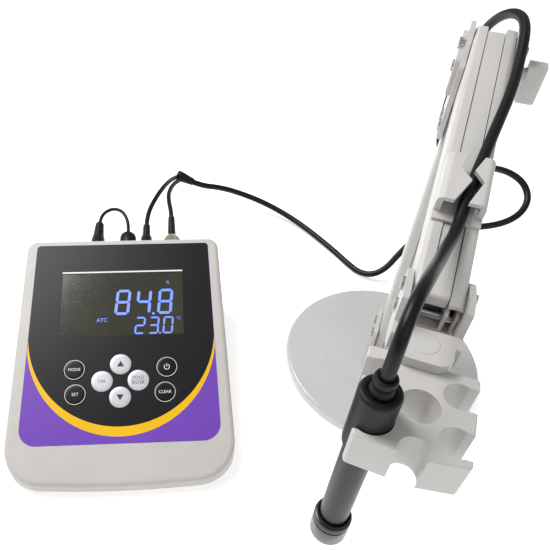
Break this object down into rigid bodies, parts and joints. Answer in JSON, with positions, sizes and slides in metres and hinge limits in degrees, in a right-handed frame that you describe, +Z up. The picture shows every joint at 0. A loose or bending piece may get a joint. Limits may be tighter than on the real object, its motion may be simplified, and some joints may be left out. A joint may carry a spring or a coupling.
{
  "type": "bench water quality meter with electrode stand",
  "caption": "Sloped bench meter with a display and round keys, beside a round-based folding electrode arm whose notched holder grips an upright cabled probe.",
  "frame": {"origin": "centre of the stand disc's underside, on the table", "axes": "+X towards the stand from the meter, +Y towards the rear sockets, +Z up"},
  "size_m": [0.4132, 0.3961, 0.2538],
  "materials": {
    "shell": "fine textured moulding",
    "overlay": "semi-gloss printed film",
    "window": "gloss",
    "display": "gloss",
    "key_dark": "semi-gloss",
    "key_light": "semi-gloss",
    "board": "matt",
    "membrane": "matt",
    "rubber": "matt",
    "cable": "satin",
    "socket": "matt",
    "connector": "bright nickel plate",
    "screw": "plain",
    "disc": "smooth satin paint",
    "stand": "smooth satin moulding",
    "probe_body": "satin",
    "probe_cap": "gloss",
    "electrode": "polished"
  },
  "bodies": {
    "base": {"upper_housing": "shell", "lower_housing": "shell", "case_screws": "screw", "meter_feet": "rubber", "overlay_panel": "overlay", "display_window": "window", "display_module": "display", "dome_sheet": "membrane", "main_board": "board", "rear_sockets": "socket", "bnc_socket": "connector", "bnc_plug": "connector", "bnc_boot": "rubber", "temperature_plug": "rubber", "charger_plug": "rubber", "socket_cap": "rubber", "tether_lead": "cable", "temperature_lead": "cable", "signal_lead": "cable", "cable_splitter": "rubber", "cable_table": "cable", "base_pad": "rubber", "base_disc": "disc", "swivel_washer": "screw", "swivel_bolt": "screw"},
    "coupling ring": {"bnc_coupling_ring": "connector"},
    "swivel": {"swivel_bracket": "stand", "base_pins": "screw", "cable_loop": "cable"},
    "lower arm": {"lower_channel": "stand", "cable_riser": "cable"},
    "lower link": {"lower_inner_bar": "stand"},
    "elbow": {"elbow_bracket": "stand", "elbow_pins": "screw", "cable_elbow": "cable"},
    "upper arm": {"upper_channel": "stand", "cable_clip": "stand", "cable_arm": "cable"},
    "upper link": {"upper_inner_bar": "stand"},
    "knob": {"tension_knob": "stand"},
    "head": {"holder_bracket": "stand", "holder_pins": "screw", "swivel_cap": "stand", "cable_drop": "cable"},
    "holder": {"electrode_holder": "stand"},
    "probe": {"probe_shaft": "probe_body", "probe_sleeve": "rubber", "strain_relief": "rubber", "membrane_cap": "probe_cap", "sensing_electrode": "electrode", "seal_ring": "rubber", "cable_tail": "cable"},
    "key mode": {"key_mode": "key_dark"},
    "key set": {"key_set": "key_dark"},
    "key power": {"key_power": "key_dark"},
    "key clear": {"key_clear": "key_dark"},
    "key cal": {"key_cal": "key_light"},
    "key enter": {"key_enter": "key_light"},
    "key up": {"key_up": "key_light"},
    "key down": {"key_down": "key_light"}
  },
  "joints": [
    {"name": "mode press", "type": "slide", "parent": "base", "child": "key mode", "axis": [0, 0.3123, -0.95], "range_m": [0, 0.0004], "stiffness_N_per_m": 1500, "springref_m": -0.0002},
    {"name": "set press", "type": "slide", "parent": "base", "child": "key set", "axis": [0, 0.3123, -0.95], "range_m": [0, 0.0004], "stiffness_N_per_m": 1500, "springref_m": -0.0002},
    {"name": "power press", "type": "slide", "parent": "base", "child": "key power", "axis": [0, 0.3123, -0.95], "range_m": [0, 0.0004], "stiffness_N_per_m": 1500, "springref_m": -0.0002},
    {"name": "clear press", "type": "slide", "parent": "base", "child": "key clear", "axis": [0, 0.3123, -0.95], "range_m": [0, 0.0004], "stiffness_N_per_m": 1500, "springref_m": -0.0002},
    {"name": "cal press", "type": "slide", "parent": "base", "child": "key cal", "axis": [0, 0.3123, -0.95], "range_m": [0, 0.0004], "stiffness_N_per_m": 1500, "springref_m": -0.0002},
    {"name": "enter press", "type": "slide", "parent": "base", "child": "key enter", "axis": [0, 0.3123, -0.95], "range_m": [0, 0.0004], "stiffness_N_per_m": 1500, "springref_m": -0.0002},
    {"name": "up press", "type": "slide", "parent": "base", "child": "key up", "axis": [0, 0.3123, -0.95], "range_m": [0, 0.0004], "stiffness_N_per_m": 1500, "springref_m": -0.0002},
    {"name": "down press", "type": "slide", "parent": "base", "child": "key down", "axis": [0, 0.3123, -0.95], "range_m": [0, 0.0004], "stiffness_N_per_m": 1500, "springref_m": -0.0002},
    {"name": "coupling turn", "type": "hinge", "parent": "base", "child": "coupling ring", "pos_m": [-0.16, 0.0863, 0.053], "axis": [0, 1, 0], "range_deg": [0, 90]},
    {"name": "swivel", "type": "hinge", "parent": "base", "child": "swivel", "pos_m": [0.0026, -0.0014, 0.011], "axis": [0, 0, 1], "range_deg": [-25, 25], "deforming": ["cable_loop"]},
    {"name": "shoulder", "type": "hinge", "parent": "swivel", "child": "lower arm", "pos_m": [0.00509, 0.00406, 0.041], "axis": [0.91, -0.4147, 0], "range_deg": [-14, 22], "deforming": ["cable_riser"]},
    {"name": "elbow level", "type": "hinge", "parent": "lower arm", "child": "elbow", "pos_m": [0.01857, 0.03363, 0.194], "axis": [0.91, -0.4147, 0], "range_deg": [-22, 14], "deforming": ["cable_elbow"]},
    {"name": "lower link turn", "type": "hinge", "parent": "elbow", "child": "lower link", "pos_m": [0.01317, 0.0218, 0.194], "axis": [0.91, -0.4147, 0], "range_deg": [-14, 22]},
    {"name": "elbow tilt", "type": "hinge", "parent": "elbow", "child": "upper arm", "pos_m": [0.01898, 0.03454, 0.2233], "axis": [0.91, -0.4147, 0], "range_deg": [-44, 14], "deforming": ["cable_arm"]},
    {"name": "upper link turn", "type": "hinge", "parent": "elbow", "child": "upper link", "pos_m": [0.01898, 0.03454, 0.2363], "axis": [0.91, -0.4147, 0], "range_deg": [-44, 14]},
    {"name": "knob turn", "type": "hinge", "parent": "elbow", "child": "knob", "pos_m": [0.03454, 0.02745, 0.2233], "axis": [0.91, -0.4147, 0], "range_deg": [-90, 90]},
    {"name": "head level", "type": "hinge", "parent": "upper arm", "child": "head", "pos_m": [-0.04785, -0.11209, 0.18222], "axis": [0.91, -0.4147, 0], "range_deg": [-14, 44], "deforming": ["cable_drop"]},
    {"name": "holder turn", "type": "hinge", "parent": "head", "child": "holder", "pos_m": [-0.05712, -0.13243, 0.18], "axis": [0, 0, 1], "range_deg": [-12, 12], "deforming": ["cable_tail"]},
    {"name": "probe lift", "type": "slide", "parent": "holder", "child": "probe", "axis": [0, 0, 1], "range_m": [0, 0.03]}
  ],
  "couplings": [
    {"joint": "elbow level", "follows": "shoulder", "ratio": -1},
    {"joint": "lower link turn", "follows": "shoulder", "ratio": 1},
    {"joint": "upper link turn", "follows": "elbow tilt", "ratio": 1},
    {"joint": "head level", "follows": "elbow tilt", "ratio": -1}
  ]
}
